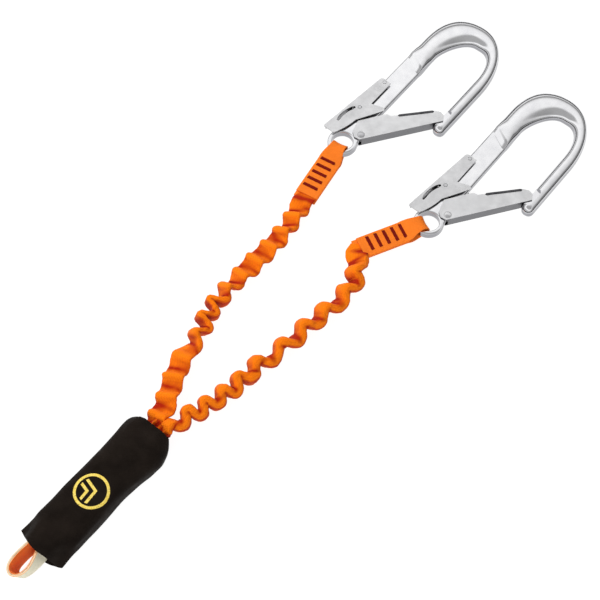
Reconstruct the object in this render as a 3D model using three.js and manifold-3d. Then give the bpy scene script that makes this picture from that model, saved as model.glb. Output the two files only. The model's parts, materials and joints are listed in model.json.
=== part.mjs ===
// Twin-leg shock absorbing lanyard, lying flat. Millimetres, +Z up, +Y from the absorber pack
// towards the hooks, +X across. The origin is on the ground under the middle of the rigid parts.
import * as THREE from 'three';
import { mergeVertices } from 'three/addons/utils/BufferGeometryUtils.js';
import Module from 'manifold-3d';

// Absorber pack
const PACK_X = -28;
const PACK_LOW_Y = -406;
const PACK_HIGH_Y = -230;
const PACK_HALF_WIDTH = 27;
const PACK_HEIGHT = 34;
const PACK_WALL = 2;
const PACK_EDGE = 10;
const LOWER_MOUTH = { low: -43, high: -15, zLow: 2, zHigh: 31 };
const UPPER_MOUTH = { low: -41, high: -3, zLow: 4, zHigh: 29 };

// Harness loop: a band standing on its edge
const LOOP_X = -29.5;
const LOOP_HALF_WIDTH = 10.5;
const LOOP_TIP_Y = -437;
const LOOP_TAIL_Y = -374;
const LOOP_LOW_Z = 2.5;
const LOOP_HIGH_Z = 29.5;
const LOOP_THICKNESS = 2.2;
const LINING_THICKNESS = 1.6;
const TOUCH_GAP = 0.3;

// Folded tear webbing
const TEAR_LAYERS = 7;
const TEAR_LAYER = 2.6;
const TEAR_PITCH = 3.2;
const TEAR_WIDTH = 40;
const TEAR_LOW_Y = -366;
const TEAR_HIGH_Y = -266;
const KEEPER_LENGTH = 12;
const KEEPER_THICKNESS = 1;

// Elastic legs
const LEG_RADIUS = 12;
const LEG_BORE = 6;
const CORE_RADIUS = 4.5;
const LEG_Z = 13;
const LEG_SIDES = 10;
const LEG_STEPS = 18;

// Sewn loops at the hook ends
const STRAP_WIDTH = 28;
const STRAP_EYE_WIDTH = 19;
const STRAP_THICKNESS = 2.2;
const STRAP_END = 85;
const TACK_FIRST = 32.5;
const TACK_PITCH = 10.4;
const TACK_COUNT = 5;
const TACK_LENGTH = 18.5;
const TACK_WIDTH = 1.9;

// Hooks: local origin at the ring centre, +Y up the spine, z = 0 at the middle of the forging
const HOOK_MID_Z = 8.3;
const RING_BORE = 12.5;
const RING_RADIUS = 18;
const SPINE_BACK = -16;
const SPINE_FRONT = 11.5;
const SPINE_HALF_THICKNESS = 4.6;
const BAR_HALF_THICKNESS = 8.1;
const BAR_ROUNDING = 5.6;
const ARM_INNER = 71.5;
const ARM_OUTER = 87.3;
const NOSE_Y = 88.3;
const GATE_PIVOT = { x: 12.4, y: 20 };
const GATE_ANGLE = THREE.MathUtils.degToRad(54);
const GATE_INNER_Z = 5.3;
const SHEET = 1.2;
const LEVER_PIVOT = { x: -13, y: 50.5 };
const LEVER_INNER_Z = 6.8;
const LEVER_STOP = { x: -12.2, y: 99 };
const LEVER_LOWER_START = 14;
const GUIDE_PIN = { x: -18.7, y: 44.2 };

const LEGS = {
  left: {
    ring: [-102, 188],
    toLeg: 8.8,
    route: [
      [-37, -205], [-48, -181], [-59, -153], [-64, -122], [-74, -90], [-78, -55],
      [-77, -15], [-76, 31], [-79, 63], [-85.5, 88], [-88.6, 101.2],
    ],
  },
  right: {
    ring: [45, 162],
    toLeg: -27.6,
    route: [
      [-11, -205], [-3, -178], [5, -145], [9, -105], [17, -72], [20, -43],
      [25, -10], [29, 16], [26, 38], [13, 53], [3, 67], [1.5, 76], [4.2, 83.8],
    ],
  },
};

const wasm = await Module();
wasm.setup();

const finishes = {
  blackTextile: { color: 0x16130f, roughness: 0.85, metalness: 0 },
  creamWebbing: { color: 0xd9d3b4, roughness: 0.8, metalness: 0 },
  orangeWebbing: { color: 0xff7010, roughness: 0.75, metalness: 0 },
  orangeLining: { color: 0xd2571a, roughness: 0.8, metalness: 0 },
  thread: { color: 0x6a0d05, roughness: 0.7, metalness: 0 },
  rubber: { color: 0xb9a27c, roughness: 0.6, metalness: 0 },
  polished: { color: 0xd8d9db, roughness: 0.18, metalness: 1 },
  sheetMetal: { color: 0xb9bbbd, roughness: 0.38, metalness: 1 },
  steel: { color: 0x9fa2a6, roughness: 0.3, metalness: 1 },
};

function piece(name, geometry, finish) {
  const mesh = new THREE.Mesh(geometry, new THREE.MeshStandardMaterial(finishes[finish]));
  mesh.name = name;
  return mesh;
}

function solid(geometry) {
  const bare = geometry.clone();
  bare.deleteAttribute('normal');
  bare.deleteAttribute('uv');
  const merged = mergeVertices(bare, 1e-4);
  const vertProperties = Float32Array.from(merged.attributes.position.array);
  const triVerts = Uint32Array.from(merged.index.array);
  return new wasm.Manifold(new wasm.Mesh({ numProp: 3, vertProperties, triVerts }));
}

function geometryOf(manifold) {
  const mesh = manifold.getMesh();
  const geometry = new THREE.BufferGeometry();
  geometry.setAttribute('position', new THREE.BufferAttribute(mesh.vertProperties, 3));
  geometry.setIndex(new THREE.BufferAttribute(mesh.triVerts, 1));
  return geometry;
}

function outline(points) {
  return new THREE.Shape(points.map(([x, y]) => new THREE.Vector2(x, y)));
}

// A flat outline given a thickness along Z. The rounding eats into the outline, so the outer
// size stays the outline's own.
function plate(shape, zLow, zHigh, rounding = 0, segments = 3, curveSegments = 6) {
  const geometry = new THREE.ExtrudeGeometry(shape, {
    depth: zHigh - zLow - 2 * rounding,
    bevelEnabled: rounding > 0,
    bevelSize: rounding,
    bevelThickness: rounding,
    bevelOffset: -rounding,
    bevelSegments: segments,
    curveSegments,
  });
  return geometry.translate(0, 0, zLow + rounding);
}

function block(xLow, xHigh, yLow, yHigh, zLow, zHigh) {
  const geometry = new THREE.BoxGeometry(xHigh - xLow, yHigh - yLow, zHigh - zLow);
  return geometry.translate((xLow + xHigh) / 2, (yLow + yHigh) / 2, (zLow + zHigh) / 2);
}

function pin(x, y, radius, zLow, zHigh, sides = 16) {
  const geometry = new THREE.CylinderGeometry(radius, radius, zHigh - zLow, sides);
  return geometry.rotateX(Math.PI / 2).translate(x, y, (zLow + zHigh) / 2);
}

// The pack's outline seen from above, drawn in by an inset. It bulges at its upper right corner.
function packOutline(inset) {
  const left = PACK_X - PACK_HALF_WIDTH + inset;
  const right = PACK_X + PACK_HALF_WIDTH - inset;
  const low = PACK_LOW_Y + inset;
  const high = PACK_HIGH_Y - inset;
  const shape = new THREE.Shape();
  shape.moveTo(left, low + 12);
  shape.quadraticCurveTo(left + 8, low, left + 24, low);
  shape.lineTo(right - 15, low);
  shape.quadraticCurveTo(right, low, right, low + 15);
  shape.lineTo(right, low + 92);
  shape.bezierCurveTo(right, high - 50, right + 8, high - 44, right + 8, high - 30);
  shape.bezierCurveTo(right + 8, high - 12, right - 4, high, right - 20, high);
  shape.lineTo(left + 20, high);
  shape.quadraticCurveTo(left, high - 2, left, high - 20);
  shape.lineTo(left, low + 12);
  return shape;
}

function packCover() {
  const outside = solid(plate(packOutline(0), 0, PACK_HEIGHT, PACK_EDGE, 3, 6));
  const inside = solid(
    plate(packOutline(PACK_WALL), PACK_WALL, PACK_HEIGHT - PACK_WALL, PACK_EDGE - 1, 3, 6),
  );
  const mouths = [
    [LOWER_MOUTH, PACK_LOW_Y - 10, PACK_LOW_Y + 20],
    [UPPER_MOUTH, PACK_HIGH_Y - 20, PACK_HIGH_Y + 10],
  ];
  let cover = outside.subtract(inside);
  for (const [mouth, yLow, yHigh] of mouths) {
    const cut = block(mouth.low, mouth.high, yLow, yHigh, mouth.zLow, mouth.zHigh);
    cover = cover.subtract(solid(cut));
  }
  return geometryOf(cover);
}

// One band of the harness loop seen from above: two straight walls and a flat-bottomed bend.
function bandSide(reach, end) {
  const bend = reach + 1.5;
  const tip = 3;
  return [
    [LOOP_X - reach, LOOP_TAIL_Y],
    [LOOP_X - reach, end + bend],
    [LOOP_X - reach * 0.86, end + bend * 0.45],
    [LOOP_X - reach * 0.58, end + bend * 0.13],
    [LOOP_X - tip, end],
    [LOOP_X + tip, end],
    [LOOP_X + reach * 0.58, end + bend * 0.13],
    [LOOP_X + reach * 0.86, end + bend * 0.45],
    [LOOP_X + reach, end + bend],
    [LOOP_X + reach, LOOP_TAIL_Y],
  ];
}

function bandOutline(halfWidth, tipY, thickness) {
  const outer = bandSide(halfWidth, tipY);
  const inner = bandSide(halfWidth - thickness, tipY + thickness);
  return outline([...outer, ...inner.reverse()]);
}

function harnessLoop() {
  const band = bandOutline(LOOP_HALF_WIDTH, LOOP_TIP_Y, LOOP_THICKNESS);
  return plate(band, LOOP_LOW_Z, LOOP_HIGH_Z);
}

function harnessLining() {
  const inset = LOOP_THICKNESS + TOUCH_GAP;
  const band = bandOutline(LOOP_HALF_WIDTH - inset, LOOP_TIP_Y + inset, LINING_THICKNESS);
  return plate(band, LOOP_LOW_Z, LOOP_HIGH_Z);
}

function harnessTack(index) {
  const y = LOOP_TAIL_Y - 6 - index * 7;
  const x = LOOP_X + LOOP_HALF_WIDTH + TOUCH_GAP;
  return block(x, x + 0.8, y, y + TACK_WIDTH, LOOP_LOW_Z + 4, LOOP_HIGH_Z - 4);
}

// The tear webbing goes back and forth in flat layers, joined at alternate ends.
function tearWebbing() {
  const zLow = (PACK_HEIGHT - (TEAR_LAYERS - 1) * TEAR_PITCH - TEAR_LAYER) / 2;
  const xLow = PACK_X - TEAR_WIDTH / 2;
  const xHigh = PACK_X + TEAR_WIDTH / 2;
  let stack = null;
  for (let i = 0; i < TEAR_LAYERS; i += 1) {
    const z = zLow + i * TEAR_PITCH;
    const layer = solid(block(xLow, xHigh, TEAR_LOW_Y, TEAR_HIGH_Y, z, z + TEAR_LAYER));
    stack = stack ? stack.add(layer) : layer;
    if (i === 0) continue;
    const foldY = i % 2 ? TEAR_HIGH_Y - TEAR_LAYER : TEAR_LOW_Y;
    const fold = block(xLow, xHigh, foldY, foldY + TEAR_LAYER, z - TEAR_PITCH, z + TEAR_LAYER);
    stack = stack.add(solid(fold));
  }
  return geometryOf(stack);
}

function keeperBand(yLow) {
  const halfWidth = TEAR_WIDTH / 2 + TOUCH_GAP;
  const halfHeight = ((TEAR_LAYERS - 1) * TEAR_PITCH + TEAR_LAYER) / 2 + TOUCH_GAP;
  const frame = (grow) => {
    const x = halfWidth + grow;
    const z = halfHeight + grow;
    return [[-x, -z], [x, -z], [x, z], [-x, z]];
  };
  const ring = outline(frame(KEEPER_THICKNESS));
  ring.holes.push(outline(frame(0)));
  const geometry = plate(ring, 0, KEEPER_LENGTH).rotateX(Math.PI / 2);
  return geometry.translate(PACK_X, yLow + KEEPER_LENGTH, PACK_HEIGHT / 2);
}

// Both legs are sewn to one doubled tab, which widens as it leaves the pack's upper mouth.
function legYoke() {
  const narrow = 15;
  const wide = 17.5;
  const x = (UPPER_MOUTH.low + UPPER_MOUTH.high) / 2;
  const tab = outline([
    [x - narrow, TEAR_HIGH_Y + 4],
    [x + narrow, TEAR_HIGH_Y + 4],
    [x + wide, PACK_HIGH_Y - 4],
    [x + wide, PACK_HIGH_Y + 16],
    [x - wide, PACK_HIGH_Y + 16],
    [x - wide, PACK_HIGH_Y - 4],
  ]);
  return plate(tab, 8, 22, 2, 2);
}

function yokeTack(index) {
  const x = (UPPER_MOUTH.low + UPPER_MOUTH.high) / 2;
  const y = TEAR_HIGH_Y + 10 + index * 8;
  return block(x - 12, x + 12, y, y + TACK_WIDTH, 22 + TOUCH_GAP, 23.1);
}

function legCurve(route) {
  return new THREE.CatmullRomCurve3(route.map(([x, y]) => new THREE.Vector3(x, y, LEG_Z)));
}

function roundSection(radius, sides) {
  const points = [];
  for (let i = 0; i < sides; i += 1) {
    const angle = (i / sides) * 2 * Math.PI;
    points.push([radius * Math.cos(angle), radius * Math.sin(angle)]);
  }
  return outline(points);
}

function legTube(route) {
  const section = roundSection(LEG_RADIUS, LEG_SIDES);
  section.holes.push(roundSection(LEG_BORE, LEG_SIDES));
  return new THREE.ExtrudeGeometry(section, { steps: LEG_STEPS, extrudePath: legCurve(route) });
}

function legCore(route) {
  const section = roundSection(CORE_RADIUS, LEG_SIDES);
  return new THREE.ExtrudeGeometry(section, { steps: LEG_STEPS, extrudePath: legCurve(route) });
}

// The sewn loop is drawn pointing along -Y from the ring centre: a strap that goes through the
// ring and lies double where it is sewn. It narrows where it is cupped inside the ring.
function sewnLoop() {
  const open = BAR_HALF_THICKNESS - 2.9;
  const half = STRAP_THICKNESS;
  const outside = outline([
    [4.5, -3.4], [4.5, 3.4], [7.2, open + half], [20, open + half], [33, half], [STRAP_END, half],
    [STRAP_END, -half], [33, -half], [20, -open - half], [7.2, -open - half],
  ]);
  const inside = outline([
    [6.7, -3], [6.7, 3], [8.4, open], [19.6, open], [31, 0.4], [31, -0.4],
    [19.6, -open], [8.4, -open],
  ]);
  const wide = STRAP_WIDTH / 2;
  const across = (shape, reach) => {
    const geometry = plate(shape, -reach, reach);
    return solid(geometry.rotateX(Math.PI / 2).rotateZ(-Math.PI / 2));
  };
  const strap = across(outside, wide).subtract(across(inside, wide + 1));
  const eye = STRAP_EYE_WIDTH / 2;
  const plan = outline([
    [-eye, 0], [-eye, -14], [-wide, -30], [-wide, -STRAP_END - 1],
    [wide, -STRAP_END - 1], [wide, -30], [eye, -14], [eye, 0],
  ]);
  return geometryOf(strap.intersect(solid(plate(plan, -20, 20))));
}

function sewnTack(index) {
  const y = -TACK_FIRST - index * TACK_PITCH;
  const z = STRAP_THICKNESS + TOUCH_GAP + (index === 0 ? 0.3 : 0);
  const half = TACK_LENGTH / 2;
  return block(-half, half, y - TACK_WIDTH / 2, y + TACK_WIDTH / 2, z, z + 0.8);
}

// The flat lower spine with the ring eye and the two small swellings that hold the rivets.
function flatSpine() {
  const shape = outline([
    [SPINE_BACK, 8], [SPINE_BACK, 36], [-21, 42], [-21, 54], [SPINE_BACK, 60],
    [SPINE_BACK, 170], [SPINE_FRONT, 170], [SPINE_FRONT, 40], [16, 27], [16.2, 19],
    [14.6, 15.5], [16.6, 7],
  ]);
  const ring = new THREE.Shape().absarc(0, 0, RING_RADIUS, 0, 2 * Math.PI, false);
  const eye = new THREE.Path().absarc(0, 0, RING_BORE, 0, 2 * Math.PI, true);
  ring.holes.push(eye);
  const spine = solid(plate(shape, -SPINE_HALF_THICKNESS, SPINE_HALF_THICKNESS, 0.8, 1));
  const lug = solid(plate(ring, -SPINE_HALF_THICKNESS, SPINE_HALF_THICKNESS, 1.6, 2, 14));
  return spine.subtract(solid(pin(0, 0, RING_BORE + 1.2, -10, 10, 32))).add(lug);
}

// The round bar: up the spine, over the crown and down the nose arm to a rounded tip.
function crownAndArm() {
  const shape = new THREE.Shape();
  shape.moveTo(SPINE_FRONT, 138);
  shape.lineTo(SPINE_FRONT, 175);
  shape.bezierCurveTo(12.5, 190, 26, 218.5, 41, 218.5);
  shape.lineTo(49, 218.5);
  shape.bezierCurveTo(62, 218.5, ARM_INNER, 200, ARM_INNER, 175);
  shape.lineTo(ARM_INNER, NOSE_Y);
  shape.absarc((ARM_INNER + ARM_OUTER) / 2, NOSE_Y, (ARM_OUTER - ARM_INNER) / 2, Math.PI, 0, false);
  shape.lineTo(87.5, 165);
  shape.bezierCurveTo(87.5, 215, 62, 249, 32, 249);
  shape.bezierCurveTo(-2, 249, SPINE_BACK, 226, SPINE_BACK, 190);
  shape.lineTo(SPINE_BACK, 156);
  return solid(plate(shape, -BAR_HALF_THICKNESS, BAR_HALF_THICKNESS, BAR_ROUNDING, 3, 11));
}

function hookBody() {
  let body = flatSpine().add(crownAndArm());
  const tongue = SPINE_HALF_THICKNESS + 0.2;
  const cuts = [
    pin(GATE_PIVOT.x, GATE_PIVOT.y, 2.8, -10, 10),
    pin(GATE_PIVOT.x, GATE_PIVOT.y, 8.6, -2.3, 2.3),
    pin(LEVER_PIVOT.x, LEVER_PIVOT.y, 2.6, -10, 10),
    pin(GUIDE_PIN.x, GUIDE_PIN.y, 1.1, -10, 10, 12),
    block(-30, -9.4, LEVER_STOP.y - 3, LEVER_STOP.y + 3, -10, 10),
    block(ARM_INNER - 5, 79.5, 91, 113, tongue, 10),
    block(ARM_INNER - 5, 79.5, 91, 113, -10, -tongue),
  ];
  for (const cut of cuts) {
    body = body.subtract(solid(cut));
  }
  return geometryOf(body);
}

// A pressed side plate in mirrored pairs, one above and one below the forging.
function platePair(shape, innerZ) {
  const upper = solid(plate(shape, innerZ, innerZ + SHEET));
  const lower = solid(plate(shape, -innerZ - SHEET, -innerZ));
  return upper.add(lower);
}

// The gate is a folded channel. It is drawn with its back web along +X and its pivot at the
// origin, then turned to its closed angle.
function gate() {
  const back = -6.3;
  const side = outline([
    [-4, back], [101.5, back], [104.6, 1.5], [102.6, 7], [96, 11], [42.5, 16.8], [39, 20.5],
    [34, 21], [2, 20.5], [-8.5, 7], [-9, -1],
  ]);
  const webHalf = GATE_INNER_Z + SHEET;
  const web = solid(block(-1, 89, back, back + SHEET, -webHalf, webHalf));
  let channel = platePair(side, GATE_INNER_Z).add(web);
  const hem = outline([[46, 13.8], [94, 8.8], [94, 11.2], [46, 16.4]]);
  const hemReach = 0.35;
  for (const z of [GATE_INNER_Z - hemReach, -GATE_INNER_Z - SHEET]) {
    channel = channel.add(solid(plate(hem, z, z + SHEET + hemReach)));
  }
  channel = channel.subtract(solid(pin(0, 0, 2.9, -10, 10)));
  const placed = geometryOf(channel).rotateZ(GATE_ANGLE);
  return placed.translate(GATE_PIVOT.x, GATE_PIVOT.y, 0);
}

function gateRivet() {
  const shank = GATE_INNER_Z + SHEET + TOUCH_GAP;
  const profile = [
    [0, -shank - 0.8], [3.6, -shank - 0.6], [4.4, -shank], [2.4, -shank], [2.4, shank],
    [4.4, shank], [3.6, shank + 0.6], [0, shank + 0.8],
  ];
  const points = profile.map(([radius, height]) => new THREE.Vector2(radius, height));
  const geometry = new THREE.LatheGeometry(points, 24).rotateX(Math.PI / 2);
  return geometry.translate(GATE_PIVOT.x, GATE_PIVOT.y, 0);
}

function gateSpring() {
  const inner = 2.9;
  const outer = 4.6;
  const half = 1.9;
  const profile = [[inner, -half], [outer, -half], [outer, half], [inner, half], [inner, -half]];
  const points = profile.map(([radius, height]) => new THREE.Vector2(radius, height));
  const coil = solid(new THREE.LatheGeometry(points, 24).rotateX(Math.PI / 2));
  const leg = solid(block(-outer, -inner - 0.2, 0, 6, -half + 0.2, half - 0.2));
  return geometryOf(coil.add(leg)).translate(GATE_PIVOT.x, GATE_PIVOT.y, 0);
}

// The lever's curved slot follows a bow, drawn as a thick line with rounded ends.
function leverSlot() {
  const bow = new THREE.QuadraticBezierCurve(
    new THREE.Vector2(-17.3, 47.2), new THREE.Vector2(-25.4, 33), new THREE.Vector2(-21.8, 18),
  );
  const half = 2.1;
  const steps = 8;
  const near = [];
  const far = [];
  for (let i = 0; i <= steps; i += 1) {
    const point = bow.getPoint(i / steps);
    const along = bow.getTangent(i / steps);
    const reach = i === 0 || i === steps ? half * 0.55 : half;
    near.push([point.x - along.y * reach, point.y + along.x * reach]);
    far.push([point.x + along.y * reach, point.y - along.x * reach]);
  }
  return outline([...near, ...far.reverse()]);
}

// The lever is a channel over the spine's back edge. Its lower plate stops short of the ring.
function lever() {
  const shape = new THREE.Shape();
  shape.moveTo(-30.2, 4.2);
  shape.lineTo(-19.8, 99.5);
  shape.quadraticCurveTo(-19, 103.2, -14.5, 103.2);
  shape.lineTo(-5.2, 102.2);
  shape.lineTo(-5.2, 63);
  shape.lineTo(9, 67.6);
  shape.quadraticCurveTo(14, 67, 12.4, 63);
  shape.lineTo(-5.4, 32.3);
  shape.quadraticCurveTo(-7.4, 15, -14.7, 1.2);
  shape.lineTo(-28.6, 1.2);
  shape.quadraticCurveTo(-30.6, 1.4, -30.2, 4.2);
  let channel = platePair(shape, LEVER_INNER_Z);
  const webHalf = LEVER_INNER_Z + SHEET;
  const web = outline([[-30.1, 5], [-28.9, 5], [-19, 96], [-20.2, 96]]);
  channel = channel.add(solid(plate(web, -webHalf, webHalf)));
  const cuts = [
    plate(leverSlot(), -10, 10),
    block(-32, -5, 0, LEVER_LOWER_START, -10, -2),
    pin(LEVER_PIVOT.x, LEVER_PIVOT.y, 2.5, -10, 10),
    pin(LEVER_STOP.x, LEVER_STOP.y, 2.5, -10, 10),
  ];
  for (const cut of cuts) {
    channel = channel.subtract(solid(cut));
  }
  return geometryOf(channel);
}

function flushRivet(place, radius) {
  return pin(place.x, place.y, radius, -BAR_HALF_THICKNESS - 0.1, BAR_HALF_THICKNESS + 0.1);
}

// A bowed leaf between the spine's back edge and the lever's web keeps the lever out.
function leverSpring() {
  const leaf = outline([
    [-17.2, 36], [-16.4, 36], [-18.6, 24], [-25.2, 12], [-26.2, 12.4], [-19.6, 24.6],
  ]);
  return plate(leaf, -3, 3);
}

function hook(side) {
  const group = new THREE.Group();
  group.add(piece(`${side}_hook_body`, hookBody(), 'polished'));
  group.add(piece(`${side}_gate`, gate(), 'sheetMetal'));
  group.add(piece(`${side}_gate_rivet`, gateRivet(), 'steel'));
  group.add(piece(`${side}_gate_spring`, gateSpring(), 'steel'));
  group.add(piece(`${side}_lever`, lever(), 'sheetMetal'));
  group.add(piece(`${side}_lever_rivet`, flushRivet(LEVER_PIVOT, 2.2), 'steel'));
  group.add(piece(`${side}_lever_stop_rivet`, flushRivet(LEVER_STOP, 2.2), 'steel'));
  group.add(piece(`${side}_lever_guide_pin`, pin(GUIDE_PIN.x, GUIDE_PIN.y, 0.8, -7.6, 7.6), 'steel'));
  group.add(piece(`${side}_lever_spring`, leverSpring(), 'steel'));
  return group;
}

function sewnEnd(side) {
  const group = new THREE.Group();
  group.add(piece(`${side}_sewn_loop`, sewnLoop(), 'orangeWebbing'));
  for (let i = 0; i < TACK_COUNT; i += 1) {
    group.add(piece(`${side}_bar_tack_${i + 1}`, sewnTack(i), 'thread'));
  }
  group.rotation.z = THREE.MathUtils.degToRad(LEGS[side].toLeg);
  return group;
}

function leg(side) {
  const { ring, route } = LEGS[side];
  const group = new THREE.Group();
  const ends = new THREE.Group();
  ends.position.set(ring[0], ring[1], HOOK_MID_Z);
  ends.add(hook(side), sewnEnd(side));
  group.add(ends);
  group.add(piece(`${side}_leg_webbing`, legTube(route), 'orangeWebbing'));
  group.add(piece(`${side}_leg_elastic`, legCore(route), 'rubber'));
  return group;
}

function pack() {
  const group = new THREE.Group();
  group.add(piece('pack_cover', packCover(), 'blackTextile'));
  group.add(piece('tear_webbing', tearWebbing(), 'creamWebbing'));
  group.add(piece('keeper_band_lower', keeperBand(TEAR_LOW_Y + 10), 'rubber'));
  group.add(piece('keeper_band_upper', keeperBand(TEAR_HIGH_Y - 10 - KEEPER_LENGTH), 'rubber'));
  group.add(piece('harness_loop', harnessLoop(), 'creamWebbing'));
  group.add(piece('harness_loop_lining', harnessLining(), 'orangeLining'));
  group.add(piece('leg_yoke', legYoke(), 'orangeWebbing'));
  for (let i = 0; i < 2; i += 1) {
    group.add(piece(`harness_loop_tack_${i + 1}`, harnessTack(i), 'thread'));
    group.add(piece(`leg_yoke_tack_${i + 1}`, yokeTack(i), 'thread'));
  }
  return group;
}

const lanyard = new THREE.Group();
lanyard.add(pack(), leg('left'), leg('right'));

export default lanyard;
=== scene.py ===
"""Looks of a twin-leg shock absorbing lanyard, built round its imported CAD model.

The frame is in metres. Dimensions below are in millimetres unless they say metres, and MM turns
them into metres. Angles are in degrees.
"""
import json
import math
import bmesh
import bpy
import numpy as np
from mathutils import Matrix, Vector, noise


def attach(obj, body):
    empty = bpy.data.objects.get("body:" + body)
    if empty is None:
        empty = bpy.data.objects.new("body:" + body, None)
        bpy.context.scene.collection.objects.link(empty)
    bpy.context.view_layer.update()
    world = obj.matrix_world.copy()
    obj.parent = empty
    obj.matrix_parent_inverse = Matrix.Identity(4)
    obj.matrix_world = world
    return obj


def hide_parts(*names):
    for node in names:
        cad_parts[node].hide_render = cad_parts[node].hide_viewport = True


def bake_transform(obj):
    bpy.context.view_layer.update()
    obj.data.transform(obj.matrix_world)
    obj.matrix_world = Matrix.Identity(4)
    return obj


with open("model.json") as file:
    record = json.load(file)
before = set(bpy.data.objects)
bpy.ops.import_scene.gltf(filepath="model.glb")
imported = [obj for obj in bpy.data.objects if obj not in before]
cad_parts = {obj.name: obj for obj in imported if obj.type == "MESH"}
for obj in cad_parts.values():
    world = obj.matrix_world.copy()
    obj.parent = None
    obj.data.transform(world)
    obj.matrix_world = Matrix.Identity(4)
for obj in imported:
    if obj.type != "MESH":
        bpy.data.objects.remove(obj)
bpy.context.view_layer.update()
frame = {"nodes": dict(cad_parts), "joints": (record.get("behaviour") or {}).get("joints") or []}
MM = 0.001
UP = (0, 0, 1.0)
SIDES = ("left", "right")

# ---------------------------------------------------------------- driving dimensions

CAMERA_TARGET = (-10, -6.5, 0)
CAMERA_AZIMUTH = 39
CAMERA_ELEVATION = 62
CAMERA_DISTANCE = 1450
CAMERA_LENS = 77

LEG_Z = 13
LEG_SIDES = 32
HALF_WEB = 11.6
FLAT_HALF_WEB = 13
FLAT_HALF_THICK = 1.3
LEG_CRUMPLE = 0.85

STRAP_END = 92
STRAP_UNDER_Z = 7.6
STRAP_HALF_THICK = 1.05
TACK_FIRST = 32.5
TACK_PITCH = 10.4
TACK_COUNT = 5
TACK_LENGTH = 18.5
TACK_WIDTH = 3.4
TACK_HEIGHT = 2.45
TACK_ASIDE = 1.5
THREAD_RADIUS = 0.5
THREAD_ROWS = 36

# The hook is drawn round its ring centre, with its middle plane at height 0.
RING_BORE = 12.5
RING_RADIUS = 18.0
SPINE_BACK = -16
SPINE_FRONT = 11.5
SPINE_HALF = 4.6
NOSE_IN = 71.5
NOSE_Y = 88.3
NOSE_ROUNDING = 7.9
POCKET_FLOOR = 4.8
GATE_PIVOT = (12.4, 20)
GATE_ANGLE = 54
LEVER_PIVOT = (-13, 50.5)
HEM_HEIGHT = 6.35
HEM_RADIUS = 1.6

PACK_LOW = -406
PACK_HIGH = -230.5
PACK_WALL = 1.6
EMBLEM = (-24.7, -326.0)
EMBLEM_RADIUS = 19.0
EMBLEM_TURN = -51
EMBLEM_ABOVE = 17.0

BAND_MIDDLE = 16.0
BAND_HALF_WIDE = 13.2
BAND_GIRTH = 56.5
TAB_X = -22.0
TAB_Z = 14.0
TAB_LOW = -262
TAB_HIGH = -220
TAB_STATIONS = 84

FLOOR_GLOW = 0.92

# These two are in metres.
FLOOR_HALF = 3.0
FLOOR_Z = -0.0004

# Each leg: the turn of its sewn strap, where it leaves the pack, a route that follows the CAD one,
# the stations of its folds, their swing, half thickness, growth and bluntness at the tips, how far
# they lean over from upright (station, degrees), and the cord's length in metres.
LEGS = {
    "left": {
        "toLeg": 8.8,
        "start": [(-32.5, -240), (-33.5, -226)],
        "route": [
            (-37, -205), (-48, -181), (-59, -153), (-64, -122), (-74, -90), (-78, -55),
            (-77, -15), (-76, 31), (-79, 63), (-85.5, 88), (-88.6, 101.2),
        ],
        "folds": [12, 24, 36, 48, 60, 72, 83, 97, 115, 129, 140, 150, 161, 171, 182, 195, 206,
                  219, 231, 243, 255, 267, 279, 291, 303, 315, 327, 339, 350],
        "first_turn": -1,
        "swing": 6.9,
        "half_fold": 4.4,
        "tip_growth": 0.6,
        "roundness": (0.75, 1.5),
        "lean": [(0, 58), (18, 66), (34, 78), (78, 74), (110, 58), (132, 30), (150, 18),
                 (178, 18), (198, 48), (220, 74), (278, 74), (296, 56), (316, 56), (334, 84)],
        "length": 0.372,
    },
    "right": {
        "toLeg": -27.6,
        "start": [(-21, -240), (-20, -226)],
        "route": [
            (-13.5, -207), (-4, -179), (5, -145), (9, -105), (17, -72), (20, -43),
            (25, -10), (29, 16), (28, 38), (22.5, 54), (14, 67), (6.5, 76), (4.2, 83.8),
        ],
        "folds": [10, 22, 36, 48, 58, 69, 80, 92, 102, 114, 127, 141, 157, 177, 193, 210, 225,
                  240, 257, 275, 289, 302, 318, 329, 340],
        "first_turn": -1,
        "swing": 5.9,
        "half_fold": 7.0,
        "tip_growth": 0.24,
        "roundness": (1.25, 1.75),
        "lean": [(0, 74), (14, 66), (30, 26), (120, 22), (160, 30), (220, 36), (300, 40),
                 (318, 56), (334, 84)],
        "length": 0.345,
    },
}


def ring_centre(side):
    """The hook's ring centre in millimetres, read from its hinge."""
    name = f"{side}_hook_swing"
    place = next(j["pos_m"] for j in frame["joints"] if j["name"] == name)
    return np.array(place) / MM


# ---------------------------------------------------------------- camera

def make_camera():
    data = bpy.data.cameras.new("camera")
    data.lens = CAMERA_LENS
    data.sensor_width = 36
    azimuth = math.radians(CAMERA_AZIMUTH)
    elevation = math.radians(CAMERA_ELEVATION)
    back = Vector((
        math.sin(azimuth) * math.cos(elevation),
        -math.cos(azimuth) * math.cos(elevation),
        math.sin(elevation),
    ))
    camera = bpy.data.objects.new("camera", data)
    bpy.context.scene.collection.objects.link(camera)
    camera.location = (Vector(CAMERA_TARGET) + back * CAMERA_DISTANCE) * MM
    camera.rotation_euler = (-back).to_track_quat("-Z", "Y").to_euler()
    bpy.context.scene.camera = camera


make_camera()


# ---------------------------------------------------------------- mesh tools

def add_object(name, mesh):
    made = bpy.data.objects.new(name, mesh)
    bpy.context.scene.collection.objects.link(made)
    return made


def shade(made, angle):
    """Smooth faces, with edges sharper than the angle kept crisp."""
    bm = bmesh.new()
    bm.from_mesh(made.data)
    bmesh.ops.recalc_face_normals(bm, faces=bm.faces)
    limit = math.radians(angle)
    for face in bm.faces:
        face.smooth = True
    for edge in bm.edges:
        edge.smooth = len(edge.link_faces) != 2 or edge.calc_face_angle(0) < limit
    bm.to_mesh(made.data)
    bm.free()
    return made


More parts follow.
